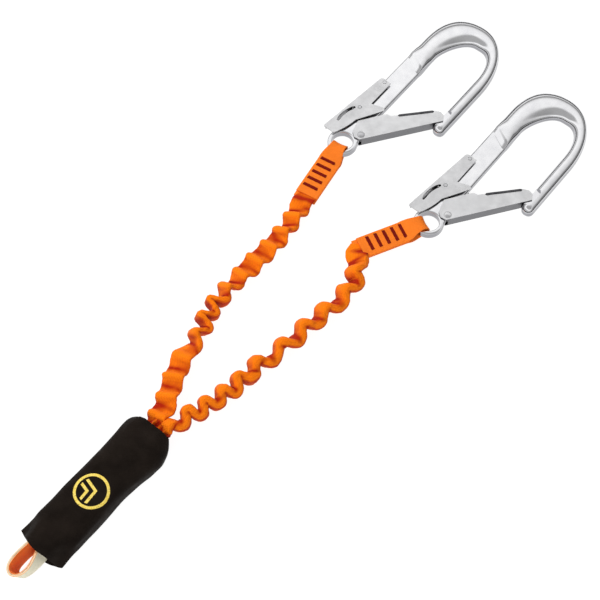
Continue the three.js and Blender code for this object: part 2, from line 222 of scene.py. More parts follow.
def smooth_line(points, step):
    """A Catmull-Rom line through points, with new points at an even step."""
    points = np.array(points, float)
    ends = [2 * points[0] - points[1], *points, 2 * points[-1] - points[-2]]
    fine = []
    for a, b, c, d in zip(ends[:-3], ends[1:-2], ends[2:-1], ends[3:]):
        for t in np.linspace(0, 1, 24, endpoint=False):
            fine.append(0.5 * (2 * b + (c - a) * t + (2 * a - 5 * b + 4 * c - d) * t * t
                               + (3 * b - a - 3 * c + d) * t ** 3))
    fine.append(points[-1])
    return resample(np.array(fine), step)


def resample(line, step):
    travel = np.concatenate([[0], np.cumsum(np.linalg.norm(np.diff(line, axis=0), axis=1))])
    count = max(2, int(round(travel[-1] / step)) + 1)
    even = np.linspace(0, travel[-1], count)
    return np.stack([np.interp(even, travel, line[:, k]) for k in range(line.shape[1])], 1)


def unit(vectors):
    return vectors / np.maximum(np.linalg.norm(vectors, axis=-1, keepdims=True), 1e-9)


def superellipse(sides, power):
    """Points of a rounded section, from -1 to 1 both ways."""
    angles = np.arange(sides) / sides * 2 * math.pi
    c, s = np.cos(angles), np.sin(angles)
    across = np.sign(c) * np.abs(c) ** (2 / power)
    through = np.sign(s) * np.abs(s) ** (2 / power)
    return np.stack([across, through], 1)


def loft(name, rings, closed=False):
    """A closed skin over rings of points in millimetres. Open ends are capped."""
    rings = np.array(rings)
    count, sides = rings.shape[:2]
    faces = []
    for i in range(count if closed else count - 1):
        j = (i + 1) % count
        for k in range(sides):
            m = (k + 1) % sides
            faces.append((i * sides + k, i * sides + m, j * sides + m, j * sides + k))
    if not closed:
        faces.append(tuple(range(sides)))
        faces.append(tuple(reversed(range((count - 1) * sides, count * sides))))
    mesh = bpy.data.meshes.new(name)
    mesh.from_pydata((rings.reshape(-1, 3) * MM).tolist(), [], faces)
    mesh.update()
    layer = mesh.uv_layers.new(name="UVMap")
    along, around = loft_uv(rings)
    for polygon in mesh.polygons:
        seam = polygon.loop_total == 4 and polygon.index % sides == sides - 1
        for corner, loop in enumerate(polygon.loop_indices):
            vertex = mesh.loops[loop].vertex_index
            i, k = divmod(vertex, sides)
            turn = sides if seam and corner in (1, 2) else k
            layer.data[loop].uv = (along[i], around[i][turn])
    return shade(add_object(name, mesh), 60)


def loft_uv(rings):
    """Millimetres along the loft and round it, for weaves."""
    middle = rings.mean(axis=1)
    steps = np.linalg.norm(np.diff(middle, axis=0), axis=1)
    along = np.concatenate([[0], np.cumsum(steps)])
    closed = np.concatenate([rings, rings[:, :1]], axis=1)
    sides = np.linalg.norm(np.diff(closed, axis=1), axis=2)
    around = np.concatenate([np.zeros((len(rings), 1)), np.cumsum(sides, axis=1)], axis=1)
    return along, around


def ribbon(name, centres, wide, half_wide, half_thick, power=3.0, sides=28, cup=None,
           crumple=None):
    """A flat band swept along centres. wide points across the band at each centre."""
    centres = np.array(centres, float)
    count = len(centres)
    forward = unit(np.gradient(centres, axis=0))
    wide = unit(wide - forward * (wide * forward).sum(1, keepdims=True))
    thick = np.cross(forward, wide)
    half_wide = np.broadcast_to(half_wide, count)
    half_thick = np.broadcast_to(half_thick, count)
    section = superellipse(sides, power)
    rings = []
    for i in range(count):
        across = section[:, :1] * half_wide[i]
        through = section[:, 1:] * half_thick[i]
        if cup is not None:
            through = through + cup[i] * section[:, :1] ** 2
        rings.append(centres[i] + across * wide[i] + through * thick[i])
    rings = np.array(rings)
    if crumple is not None:
        rings = crumpled(rings, centres, np.broadcast_to(crumple, count))
    return loft(name, rings)


def crumpled(rings, centres, depth):
    """Small uneven wrinkles, pushed out from the band's middle."""
    out = rings.copy()
    for i, ring in enumerate(rings):
        for k, point in enumerate(ring):
            spot = Vector(point) * 0.13
            push = noise.noise(spot) + 0.5 * noise.noise(spot * 2.7)
            away = point - centres[i]
            length = max(np.linalg.norm(away), 1e-6)
            out[i, k] = point + away / length * push * depth[i]
    return out


def placed(made, side, turn=0):
    """Moves a piece drawn round the ring centre to its place in the frame."""
    angle = math.radians(turn)
    c, s = math.cos(angle), math.sin(angle)
    x, y, z = ring_centre(side) * MM
    for vertex in made.data.vertices:
        px, py, pz = vertex.co
        vertex.co = (x + c * px - s * py, y + s * px + c * py, z + pz)
    made.data.update()
    return made


def applied(made):
    """Bakes an object's modifiers into its mesh."""
    graph = bpy.context.evaluated_depsgraph_get()
    mesh = bpy.data.meshes.new_from_object(made.evaluated_get(graph))
    made.modifiers.clear()
    made.data = mesh
    return made


def flat_faces_first(made):
    """Large flat faces keep their own normals beside narrow rounded edges."""
    normals = made.modifiers.new("normals", "WEIGHTED_NORMAL")
    normals.keep_sharp = True


def cut(made, tools, operation="DIFFERENCE"):
    for tool in tools:
        step = made.modifiers.new("cut", "BOOLEAN")
        step.operation = operation
        step.solver = "EXACT"
        step.object = tool
    applied(made)
    for tool in tools:
        bpy.data.objects.remove(tool)
    return made


def prism(name, points, low, high, rounding=0, segments=3):
    """An outline in the XY plane given a thickness, its top and bottom rims rounded."""
    bm = bmesh.new()
    bottom = [bm.verts.new((x * MM, y * MM, low * MM)) for x, y in points]
    face = bm.faces.new(bottom)
    moved = bmesh.ops.extrude_face_region(bm, geom=[face])["geom"]
    top = [g for g in moved if isinstance(g, bmesh.types.BMVert)]
    for vertex in top:
        vertex.co.z = high * MM
    bmesh.ops.recalc_face_normals(bm, faces=bm.faces)
    if rounding:
        rims = [e for e in bm.edges if abs(e.verts[0].co.z - e.verts[1].co.z) < 1e-7]
        bmesh.ops.bevel(bm, geom=rims, offset=rounding * MM, segments=segments,
                        profile=0.5, affect="EDGES", clamp_overlap=True)
    mesh = bpy.data.meshes.new(name)
    bm.to_mesh(mesh)
    bm.free()
    return add_object(name, mesh)


def lathe(name, profile, sides):
    """A profile of (radius, height) points turned about the Z axis. It closes on itself."""
    rings = []
    for k in range(sides):
        a = k / sides * 2 * math.pi
        rings.append([(r * math.cos(a), r * math.sin(a), z) for r, z in profile])
    return loft(name, rings, closed=True)


def cylinder(name, x, y, radius, low, high, sides=48):
    points = [(x + radius * math.cos(a), y + radius * math.sin(a))
              for a in np.arange(sides) / sides * 2 * math.pi]
    return prism(name, points, low, high)


def bezier(a, b, c, d, count):
    t = np.linspace(0, 1, count)[:, None]
    a, b, c, d = (np.array(p, float) for p in (a, b, c, d))
    return (1 - t) ** 3 * a + 3 * (1 - t) ** 2 * t * b + 3 * (1 - t) * t * t * c + t ** 3 * d


# ---------------------------------------------------------------- materials

RANGE_SOCKETS = ("From Min", "From Max", "To Min", "To Max")


class Material:
    """A node material: a Principled shader and short ways to add nodes before it."""

    def __init__(self, name, **sockets):
        self.material = bpy.data.materials.new(name)
        self.material.use_nodes = True
        self.tree = self.material.node_tree
        self.shader = self.tree.nodes["Principled BSDF"]
        for socket, value in sockets.items():
            self.shader.inputs[socket.replace("_", " ")].default_value = value

    def node(self, kind, **settings):
        made = self.tree.nodes.new(kind)
        for key, value in settings.items():
            setattr(made, key, value)
        return made

    def join(self, source, target):
        self.tree.links.new(source, target)

    def feed(self, value, target):
        """Links a socket, or sets a plain number."""
        if isinstance(value, (int, float, tuple)):
            target.default_value = value
        else:
            self.join(value, target)

    def math(self, operation, *values):
        made = self.node("ShaderNodeMath", operation=operation)
        for value, target in zip(values, made.inputs):
            self.feed(value, target)
        return made.outputs[0]

    def axes(self, source):
        split = self.node("ShaderNodeSeparateXYZ")
        self.join(source, split.inputs[0])
        return split.outputs

    def band_place(self):
        """Millimetres along a band and round it."""
        return self.axes(self.node("ShaderNodeUVMap", uv_map="UVMap").outputs["UV"])[:2]

    def level(self):
        """1 on faces that lie flat and 0 on upright ones, from the mesh's own normals."""
        normal = self.axes(self.node("ShaderNodeTexCoord").outputs["Normal"])
        return self.math("ABSOLUTE", normal[2])

    def object_place(self, scale=(1000, 1000, 1000)):
        """Object coordinates in millimetres, or stretched."""
        place = self.node("ShaderNodeTexCoord").outputs["Object"]
        mapping = self.node("ShaderNodeMapping")
        mapping.inputs["Scale"].default_value = scale
        self.join(place, mapping.inputs["Vector"])
        return mapping.outputs["Vector"]

    def noise(self, place, scale, detail=4, roughness=0.55):
        made = self.node("ShaderNodeTexNoise")
        self.join(place, made.inputs["Vector"])
        made.inputs["Scale"].default_value = scale
        made.inputs["Detail"].default_value = detail
        made.inputs["Roughness"].default_value = roughness
        return made.outputs["Fac"]

    def range(self, value, low, high, to_low=0.0, to_high=1.0):
        made = self.node("ShaderNodeMapRange")
        self.join(value, made.inputs["Value"])
        for socket, number in zip(RANGE_SOCKETS, (low, high, to_low, to_high)):
            made.inputs[socket].default_value = number
        return made.outputs["Result"]

    def mix(self, share, one, other):
        made = self.node("ShaderNodeMix", data_type="RGBA")
        self.feed(share, made.inputs["Factor"])
        self.feed(one, made.inputs["A"])
        self.feed(other, made.inputs["B"])
        return made.outputs["Result"]

    def colour(self, value):
        self.feed(value, self.shader.inputs["Base Color"])

    def roughness(self, value):
        self.feed(value, self.shader.inputs["Roughness"])

    def bump(self, height, distance, strength=1.0):
        made = self.node("ShaderNodeBump")
        made.inputs["Distance"].default_value = distance * MM
        made.inputs["Strength"].default_value = strength
        self.join(height, made.inputs["Height"])
        last = self.shader.inputs["Normal"]
        if last.is_linked:
            self.join(last.links[0].from_socket, made.inputs["Normal"])
        self.join(made.outputs["Normal"], last)


def rgb(r, g, b):
    return (r, g, b, 1.0)


def weave(made, rib, column):
    """The height of a plain weave over the band's UV millimetres: ribs across, columns along."""
    along, around = made.band_place()
    columns = made.math("DIVIDE", around, column)
    odd = made.math("MULTIPLY", made.math("FLOOR", made.math("MODULO", columns, 2.0)), 0.5)
    rows = made.math("ADD", made.math("DIVIDE", along, rib), odd)
    across = made.math("ABSOLUTE", made.math("SINE", made.math("MULTIPLY", rows, math.pi)))
    down = made.math("ABSOLUTE", made.math("SINE", made.math("MULTIPLY", columns, math.pi)))
    return made.math("MULTIPLY", across, made.math("POWER", down, 0.5))


# The woven ridges along a leg, with painted shade between them, in radians for each millimetre
# round the band.
RIDGE_TURN = 1.9


def webbing_material(name, light, dark, rib=1.3, column=1.7, painted_shade=None, edge=None):
    """Woven band, the low points of its weave painted darker as painted shade. painted_shade
    colours the painted shade on fold hollows, upright faces and grooves between ridges, and edge
    the upper long edge.
    """
    made = Material(name, Roughness=0.78, Sheen_Weight=0.03, Sheen_Roughness=0.45,
                    Specular_IOR_Level=0.14)
    height = weave(made, rib, column)
    place = made.object_place()
    cloudy = made.range(made.noise(place, 0.06, 5), 0.35, 0.7)
    # Painted shade: the weave's low points take the dark colour.
    shadowed = made.mix(made.range(height, 0.0, 0.6), dark, light)
    deeper = tuple(0.82 * c for c in light[:3]) + (1.0,)
    colour = made.mix(made.math("MULTIPLY", cloudy, 0.35), shadowed, deeper)
    if painted_shade:
        # Painted shade: fold hollows (the fold_shade attribute), upright faces and the grooves
        # between woven ridges take the painted_shade colour.
        hollow = made.node("ShaderNodeAttribute", attribute_name="fold_shade").outputs["Fac"]
        steep = made.range(made.level(), 0.6, 0.05, 0.0, 0.95)
        ridges = made.math("SINE", made.math("MULTIPLY", made.band_place()[1], RIDGE_TURN))
        colour = made.mix(made.range(ridges, -0.2, -1.0, 0.0, 0.14), colour, painted_shade)
        colour = made.mix(made.math("MAXIMUM", steep, made.range(hollow, -0.3, 0.9)), colour, painted_shade)
    if edge:
        around = made.band_place()[1]
        down = made.math("MINIMUM", around, made.math("SUBTRACT", BAND_GIRTH, around))
        colour = made.mix(made.range(down, 2.0, 1.2), colour, edge)
    made.colour(colour)
    made.roughness(made.range(made.noise(place, 0.4), 0.3, 0.7, 0.68, 0.86))
    made.bump(made.noise(place, 1.6, 3), 0.12, 0.5)
    made.bump(height, 0.28, 0.8)
    return made.material


def pack_material():
    """Black coated textile with a fine twill and a plain yellow printed emblem."""
    made = Material("pack_textile", Roughness=0.65, Specular_IOR_Level=0.05)
    place = made.object_place()
    x, y, z = made.axes(place)
    twill = made.math("SINE", made.math("MULTIPLY", made.math("ADD", x, y), 5.2))
    weft = made.math("SINE", made.math("MULTIPLY", made.math("SUBTRACT", x, y), 2.1))
    height = made.math("ADD", twill, made.math("MULTIPLY", weft, 0.5))
    cloudy = made.range(made.noise(place, 0.05, 5), 0.3, 0.75)
    cloth = made.mix(cloudy, rgb(0.0078, 0.0054, 0.004), rgb(0.0155, 0.011, 0.0084))
    mask = emblem_mask(made, x, y, z)
    worn = made.range(made.noise(place, 0.9, 4), 0.3, 0.42)
    ink = made.mix(made.range(made.noise(place, 0.3, 3), 0.3, 0.7),
                   rgb(0.86, 0.62, 0.09), rgb(0.95, 0.75, 0.2))
    made.colour(made.mix(made.math("MULTIPLY", mask, worn), cloth, ink))
    made.roughness(made.range(made.noise(place, 0.12, 4), 0.3, 0.7, 0.5, 0.68))
    made.bump(made.noise(place, 0.1, 5), 0.9, 0.35)
    made.bump(height, 0.07, 0.8)
    return made.material


def emblem_mask(made, x, y, z):
    """A ring round two chevrons, printed on the upper face, turned to read across the pack."""
    turn = math.radians(EMBLEM_TURN)
    dx = made.math("SUBTRACT", x, EMBLEM[0])
    dy = made.math("SUBTRACT", y, EMBLEM[1])
    u = made.math("ADD", made.math("MULTIPLY", dx, math.cos(turn)),
                  made.math("MULTIPLY", dy, math.sin(turn)))
    v = made.math("SUBTRACT", made.math("MULTIPLY", dy, math.cos(turn)),
                  made.math("MULTIPLY", dx, math.sin(turn)))
    radius = made.math("SQRT", made.math("ADD", made.math("MULTIPLY", u, u),
                                         made.math("MULTIPLY", v, v)))
    ring = band_mask(made, radius, EMBLEM_RADIUS - 1.6, 1.6)
    slope = made.math("MULTIPLY", made.math("ABSOLUTE", u), 0.75)
    inside = made.math("LESS_THAN", radius, EMBLEM_RADIUS - 5.4)
    chevrons = None
    for level in (-8.2, 0.4):
        chevron = band_mask(made, made.math("SUBTRACT", made.math("ADD", v, slope), level), 4, 2.0)
        chevrons = chevron if chevrons is None else made.math("MAXIMUM", chevrons, chevron)
    shape = made.math("MAXIMUM", ring, made.math("MULTIPLY", chevrons, inside))
    return made.math("MULTIPLY", shape, made.math("GREATER_THAN", z, EMBLEM_ABOVE))


def band_mask(made, value, middle, half):
    away = made.math("ABSOLUTE", made.math("SUBTRACT", value, middle))
    return made.range(away, half, half - 0.25)


def thread_material():
    made = Material("stitching", Roughness=0.6, Specular_IOR_Level=0.15)
    place = made.object_place()
    made.colour(made.mix(made.noise(place, 1.2), rgb(0.12, 0.003, 0.001), rgb(0.27, 0.01, 0.004)))
    made.bump(made.noise(place, 5.0, 2), 0.08, 0.6)
    return made.material


def rubber_material():
    made = Material("elastic_rubber", Roughness=0.7)
    place = made.object_place()
    made.colour(made.mix(made.noise(place, 0.5), rgb(0.40, 0.29, 0.15), rgb(0.52, 0.39, 0.23)))
    made.bump(made.noise(place, 2.5, 3), 0.1, 0.5)
    return made.material


def metal_material(name, light, dark, side, low, high, grain, depth, painted_inner_shade=False):
    """Metal with cloudy polish, upright sides painted darker in the side colour as painted shade,
    and fine marks along the hook. With painted_inner_shade, painted shade darkens the upper faces
    of its lower plate. Low and high limit its roughness."""
    made = Material(name, Metallic=1.0)
    cloudy = made.noise(made.object_place(), 0.09, 5)
    top = made.mix(made.range(cloudy, 0.3, 0.75), light, dark)
    # Painted shade: upright sides take the side colour.
    steep = made.range(made.level(), 0.75, 0.15)
    colour = made.mix(steep, top, side)
    if painted_inner_shade:
        # Painted shade inside: the lower plate's upper faces turn near black.
        up = made.axes(made.node("ShaderNodeTexCoord").outputs["Normal"])[2]
        height = made.axes(made.object_place())[2]
        inside = made.math("MULTIPLY", made.range(up, 0.3, 0.6), made.range(height, 4.2, 3.6))
        colour = made.mix(inside, colour, rgb(0.02, 0.02, 0.021))
    made.colour(colour)
    marks = made.noise(made.object_place(grain), 1.0, 3, 0.6)
    made.roughness(made.range(made.math("ADD", cloudy, made.math("MULTIPLY", marks, 0.6)),
                              0.55, 1.1, low, high))
    made.bump(marks, depth, 0.5)
    return made.material


def floor_material():
    made = Material("floor", Roughness=0.9, Specular_IOR_Level=0.1,
                    Emission_Color=rgb(1, 1, 1), Emission_Strength=FLOOR_GLOW)
    place = made.object_place()
    made.colour(made.mix(made.noise(place, 0.01), rgb(0.16, 0.16, 0.16), rgb(0.18, 0.18, 0.18)))
    return made.material


PEACH = rgb(1.0, 0.6, 0.33)

MATERIALS = {
    "leg": webbing_material("leg_webbing", rgb(1.0, 0.235, 0.003), rgb(0.92, 0.14, 0.001),
                            painted_shade=rgb(0.42, 0.016, 0.0)),
    "strap": webbing_material("strap_webbing", rgb(0.97, 0.235, 0.022), rgb(0.9, 0.15, 0.008),
                              rib=1.2, column=1.5),
    "lining": webbing_material("loop_lining", rgb(0.95, 0.24, 0.045), rgb(0.7, 0.13, 0.015),
                               edge=PEACH),
    "cream": webbing_material("natural_webbing", rgb(0.76, 0.71, 0.51), rgb(0.55, 0.5, 0.33)),
    "cream_band": webbing_material("edged_webbing", rgb(0.92, 0.87, 0.68),
                                   rgb(0.74, 0.68, 0.5), edge=PEACH),
    "pack": pack_material(),
    "thread": thread_material(),
    "rubber": rubber_material(),
    "polished": metal_material("polished_aluminium", rgb(0.79, 0.79, 0.8),
                               rgb(0.7, 0.7, 0.72), rgb(0.34, 0.34, 0.36), 0.08, 0.17,
                               (900, 90, 900), 0.02),
    "sheet": metal_material("brushed_sheet", rgb(0.86, 0.86, 0.87), rgb(0.79, 0.79, 0.8),
                            rgb(0.2, 0.2, 0.21), 0.33, 0.46, (2600, 160, 2600), 0.03, True),
    # The lever is the sheet with a lighter painted shade on its upright sides.
    "lever": metal_material("lever_sheet", rgb(0.83, 0.83, 0.84), rgb(0.75, 0.75, 0.76),
                            rgb(0.4, 0.4, 0.41), 0.33, 0.46, (2600, 160, 2600), 0.03, True),
    # The rolled edges are painted near black as painted shade of the gate's channel.
    "hem": metal_material("rolled_edge_painted_shade", rgb(0.16, 0.16, 0.17), rgb(0.1, 0.1, 0.11),
                          rgb(0.05, 0.05, 0.055), 0.4, 0.55, (2600, 160, 2600), 0.03),
    "steel": metal_material("rivet_steel", rgb(0.7, 0.7, 0.71), rgb(0.56, 0.56, 0.58),
                            rgb(0.26, 0.26, 0.27), 0.22, 0.36, (1500, 1500, 1500), 0.02),
}


def finish_piece(made, finish, body=None, replaced=()):
    made.data.materials.clear()
    made.data.materials.append(MATERIALS[finish])
    if body:
        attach(made, body)
    if replaced:
        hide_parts(*replaced)
    return made


# ---------------------------------------------------------------- elastic legs

def leg_line(side):
    leg = LEGS[side]
    ring = ring_centre(side)
    turn = math.radians(leg["toLeg"])
    under = []
    for away in (STRAP_END - 4, STRAP_END - 14):
        under.append((ring[0] + math.sin(turn) * away, ring[1] - math.cos(turn) * away,
                      STRAP_UNDER_Z))
    flat = [(x, y, LEG_Z) for x, y in leg["start"] + leg["route"][:-2]]
    low = [(*leg["route"][-2], 0.75 * LEG_Z)]
    return smooth_line(flat + low + under, 1.0)


def fold_wave(folds, first_turn, swing, roundness):
    """Points (station, offset) of the folded band's middle: it turns back at each fold."""
    turns = [first_turn * (1 if i % 2 else -1) for i in range(len(folds))]
    heights = [turn * swing(station) for turn, station in zip(turns, folds)]
    bluntness = [roundness[0] if turn > 0 else roundness[1] for turn in turns]
    points = []
    t = np.linspace(0, 1, 24, endpoint=False)
    h00, h10 = 2 * t ** 3 - 3 * t ** 2 + 1, t ** 3 - 2 * t ** 2 + t
    h01, h11 = -2 * t ** 3 + 3 * t ** 2, t ** 3 - t ** 2
    for i in range(len(folds) - 1):
        gap = folds[i + 1] - folds[i]
        leave, arrive = gap * bluntness[i], gap * bluntness[i + 1]
        s = h00 * folds[i] + h10 * leave + h01 * folds[i + 1] + h11 * arrive
        u = h00 * heights[i] + h01 * heights[i + 1]
        points += list(zip(s, u))
    points.append((folds[-1], heights[-1]))
    return resample(np.array(points), 0.9)


def smoothstep(value, low, high):
    t = np.clip((value - low) / (high - low), 0, 1)
    return t * t * (3 - 2 * t)


def leg_band(side, line):
    """The gathered band: a folded wave carried along the leg's route, leaning over in places."""
    leg = LEGS[side]
    travel = np.concatenate([[0], np.cumsum(np.linalg.norm(np.diff(line, axis=0), axis=1))])
    total = travel[-1]

    def swing(station):
        start = 0.35 + 0.65 * smoothstep(station, 0, 34)
        end = 1 - smoothstep(station, total - 29, total - 14)
        uneven = 1 + 0.14 * noise.noise(Vector((station * 0.09, 3.1 if side == "left" else 7.7, 0)))
        return leg["swing"] * start * end * uneven

    folds = [0] + [f for f in leg["folds"] if f < total - 10] + [total]
    wave = fold_wave(folds, leg["first_turn"], swing, leg["roundness"])
    station = np.clip(wave[:, 0], 0, total)
    base = np.stack([np.interp(station, travel, line[:, k]) for k in range(3)], 1)
    forward = unit(np.stack([
        np.interp(station, travel, np.gradient(line[:, k], travel)) for k in range(3)], 1))
    side_way = unit(np.cross(UP, forward))
    upward = np.cross(forward, side_way)
    stations, degrees = zip(*leg["lean"])
    lean = np.radians(np.interp(station, stations, degrees))
    wobble = np.array([noise.noise(Vector((s * 0.06, 1.7, 4.2))) for s in station])
    lean = lean + wobble * math.radians(20) * (1 - smoothstep(station, total - 40, total - 10))
    c, s = np.cos(lean)[:, None], np.sin(lean)[:, None]
    flatter = 1 - 0.52 * np.sin(lean) ** 2
    offset = (wave[:, 1] * flatter)[:, None]
    centres = base + offset * (c * side_way + s * upward)
    wide = c * upward - s * side_way
    squeezed = 0.7 + 0.3 * smoothstep(station, 4, 32)
    flat_end = smoothstep(station, total - 25, total - 12)
    bent = np.minimum(np.abs(wave[:, 1]) / leg["swing"], 1)
    spread = 1 + 0.1 * np.sin(lean) ** 2
    width = HALF_WEB * squeezed * spread * (1 - flat_end) + FLAT_HALF_WEB * flat_end
    upright = 1 - 0.45 * np.sin(lean) ** 4
    tip = np.where(wave[:, 1] > 0, 0.45 + 0.32 * leg["roundness"][0],
                   0.5 + 0.32 * leg["roundness"][1])
    thickness = leg["half_fold"] * upright * (0.78 + leg["tip_growth"] * tip * bent ** 2)
    thickness = thickness * (1 - flat_end) + FLAT_HALF_THICK * flat_end
    mouth = 1 - smoothstep(station, 12, 36)
    made = ribbon(f"{side}_gathered_webbing", centres, wide, width, thickness, sides=LEG_SIDES,
                  crumple=LEG_CRUMPLE * (1 + 2.4 * mouth))
    resting_on_floor(made)
    # A painted shadow under the strap's edge, and painted shade near the pack's mouth.
    strap_edge_shadow = np.exp(-((station - total + 17) / 6) ** 2)
    added_shade = 0.9 * (1 - smoothstep(station, 12, 26)) + 1.2 * strap_edge_shadow
    fold_shade(made, centres, added_shade, 0.35 + 1.3 * mouth)
    return made


def resting_on_floor(made, floor=0.3, soft=1.8):
    """Points that would dip under the floor flatten out just above it."""
    for vertex in made.data.vertices:
        height = vertex.co.z / MM - floor
        if height < soft:
            vertex.co.z = (floor + soft * math.exp(height / soft - 1)) * MM
    made.data.update()


def fold_shade(made, centres, added_shade, patchy):
    """Stores painted shade for each point: more on the hollow side of a bend and towards the
    bottom of each ring. Each ring adds its added_shade and uneven patches."""
    forward = unit(np.gradient(centres, axis=0))
    bend = np.gradient(forward, axis=0) / np.linalg.norm(
        np.gradient(centres, axis=0), axis=1, keepdims=True)
    spread = np.hanning(15) / np.hanning(15).sum()
    bend = np.stack([np.convolve(bend[:, k], spread, "same") for k in range(3)], 1)
    spots = np.array([v.co for v in made.data.vertices]) / MM
    spots = spots.reshape(len(centres), LEG_SIDES, 3)
    middle = spots.mean(axis=1, keepdims=True)
    hollow = ((spots - middle) * bend[:, None]).sum(axis=2)
    height = spots[:, :, 2] - middle[:, :, 2]
    reach = np.maximum(np.abs(height).max(axis=1, keepdims=True), 1)
    patches = np.array([noise.noise(Vector(p) * 0.14) for p in spots.reshape(-1, 3)])
    value = hollow * 2.2 - 0.22 * height / reach + added_shade[:, None]
    value += patches.reshape(value.shape) * patchy[:, None]
    layer = made.data.attributes.new("fold_shade", "FLOAT", "POINT")
    layer.data.foreach_set("value", value.ravel())


def add_leg(side):
    line = leg_line(side)
    made = leg_band(side, line)
    finish_piece(made, "leg")
    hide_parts(f"{side}_leg_webbing", f"{side}_leg_elastic")
    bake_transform(made)


for each in SIDES:
    add_leg(each)


# ---------------------------------------------------------------- sewn loops at the hooks

def strap_line():
    """The strap's middle seen from its edge: (distance from the ring centre, height)."""
    return smooth_line([
        (STRAP_END - 6, 1.25), (60, 1.25), (40, 1.25), (33, 1.5), (27, 3.4), (21, 5.9), (14, 6.7),
        (8.5, 5.6), (5.4, 3.0), (4.4, 0), (5.4, -3.0), (8.5, -5.6), (14, -6.5), (21, -5.8),
        (27, -3.6), (33, -1.5), (40, -1.25), (60, -1.25), (STRAP_END, -1.25),
    ], 1.0)


def add_sewn_loop(side):
    line = strap_line()
    centres = np.stack([np.zeros(len(line)), -line[:, 0], line[:, 1]], 1)
    wide = np.tile([1.0, 0, 0], (len(line), 1))
    near = smoothstep(line[:, 0], 10, 31)
    half_wide = 9.3 + 4.7 * near
    cup = -(1.0 + 0.5 * np.tanh(line[:, 1] / 3)) * (1 - smoothstep(line[:, 0], 8, 26))
    made = ribbon(f"{side}_strap", centres, wide, half_wide, STRAP_HALF_THICK, power=5, sides=36,
                  cup=cup)
    placed(made, side, LEGS[side]["toLeg"])
    finish_piece(made, "strap", f"{side}_loop", [f"{side}_sewn_loop"])


def thread_bar(name):
    """A bar tack: thread laid to and fro across a narrow bar, drawn along X."""
    points = []
    for i in range(THREAD_ROWS + 1):
        x = -TACK_LENGTH / 2 + TACK_LENGTH * i / THREAD_ROWS
        y = TACK_WIDTH / 2 * (1 if i % 2 else -1)
        points += [(x - 0.12, y * 0.5, 0.16), (x, y, -0.1)]
    line = smooth_line(points, 0.28)
    wide = np.tile(UP, (len(line), 1))
    return ribbon(name, line, wide, THREAD_RADIUS, THREAD_RADIUS, power=2, sides=8)


def add_tacks(side):
    for i in range(TACK_COUNT):
        away = TACK_FIRST + TACK_PITCH * i
        height = TACK_HEIGHT + (0.35 if i == 0 else 0)
        made = thread_bar(f"{side}_tack_{i + 1}")
        for vertex in made.data.vertices:
            vertex.co.x -= TACK_ASIDE * MM
            vertex.co.y -= away * MM
            vertex.co.z += height * MM
        placed(made, side, LEGS[side]["toLeg"])
        finish_piece(made, "thread", f"{side}_loop", [f"{side}_bar_tack_{i + 1}"])


for each in SIDES:
    add_sewn_loop(each)
    add_tacks(each)


# ---------------------------------------------------------------- hooks

def crown_loft(name):
    """The round bar from the spine over the crown and down the nose arm to its tip."""
    inner = np.concatenate([
        np.linspace((SPINE_FRONT, 133), (SPINE_FRONT, 174), 16),
        bezier((SPINE_FRONT, 175), (12.5, 190), (26, 218.5), (41, 218.5), 20),
        np.linspace((42.5, 218.5), (49, 218.5), 4)[:-1],
        bezier((49, 218.5), (62, 218.5), (NOSE_IN, 200), (NOSE_IN, 175), 20),
        np.linspace((NOSE_IN, 173), (NOSE_IN, NOSE_Y), 26),
    ])
    outer = np.concatenate([
        np.linspace((SPINE_BACK, 149), (SPINE_BACK, 189), 16),
        bezier((SPINE_BACK, 190), (SPINE_BACK, 226), (-2, 249), (32, 249), 21)[:-1],
        bezier((32, 249), (62, 249), (87.5, 215), (87.5, 165), 23),
        np.linspace((87.5, 163), (87.3, NOSE_Y), 26),
    ])
    count = np.arange(len(inner))
    grown = np.clip(count / 4, 0, 1)
    round_share = smoothstep(count, 3, 11)
    rings = []
    for a, b, share, rounder in zip(inner, outer, grown, round_share):
        section = superellipse(48, 5.0 - 2.5 * rounder)
        middle, across = (a + b) / 2, (b - a) / 2 * (0.97 + 0.03 * share)
        flat = middle + section[:, :1] * across
        rings.append(np.column_stack([flat, section[:, 1] * (4.2 + 3.9 * share)]))
    tip = rings[-1]
    centre = tip.mean(axis=0)
    for angle in np.radians([15, 30, 45, 60, 74, 84]):
        ring = centre + (tip - centre) * math.cos(angle)
        ring[:, 1] -= NOSE_ROUNDING * math.sin(angle)
        rings.append(ring)
    return loft(name, rings)


def spine_plate(name):
    """The flat lower spine, with the small swelling that the lever's rivet goes through."""
    points = [
        (SPINE_BACK, 8), (SPINE_BACK, 36), (-18.6, 39), (-21, 42), (-21.4, 48), (-21, 54),
        (-18.6, 57), (SPINE_BACK, 60), (SPINE_BACK, 160), (SPINE_FRONT, 144), (SPINE_FRONT, 40),
        (14.4, 32), (16, 27), (16.4, 23), (16.2, 19), (14.6, 15.5), (16.6, 7),
    ]
    return prism(name, points, -SPINE_HALF, SPINE_HALF, 2.4, 4)


def ring_lug(name):
    """The ring eye: a flat-faced ring with rounded rims."""
    upper = [(RING_BORE, 3.0), (RING_BORE + 0.4, 4.1), (RING_BORE + 1.4, SPINE_HALF),
             (RING_RADIUS - 1.6, SPINE_HALF), (RING_RADIUS - 0.5, 4.1), (RING_RADIUS, 3.0)]
    lower = [(radius, -height) for radius, height in reversed(upper)]
    return lathe(name, [lower[-1], *upper, *lower[:-1]], 96)


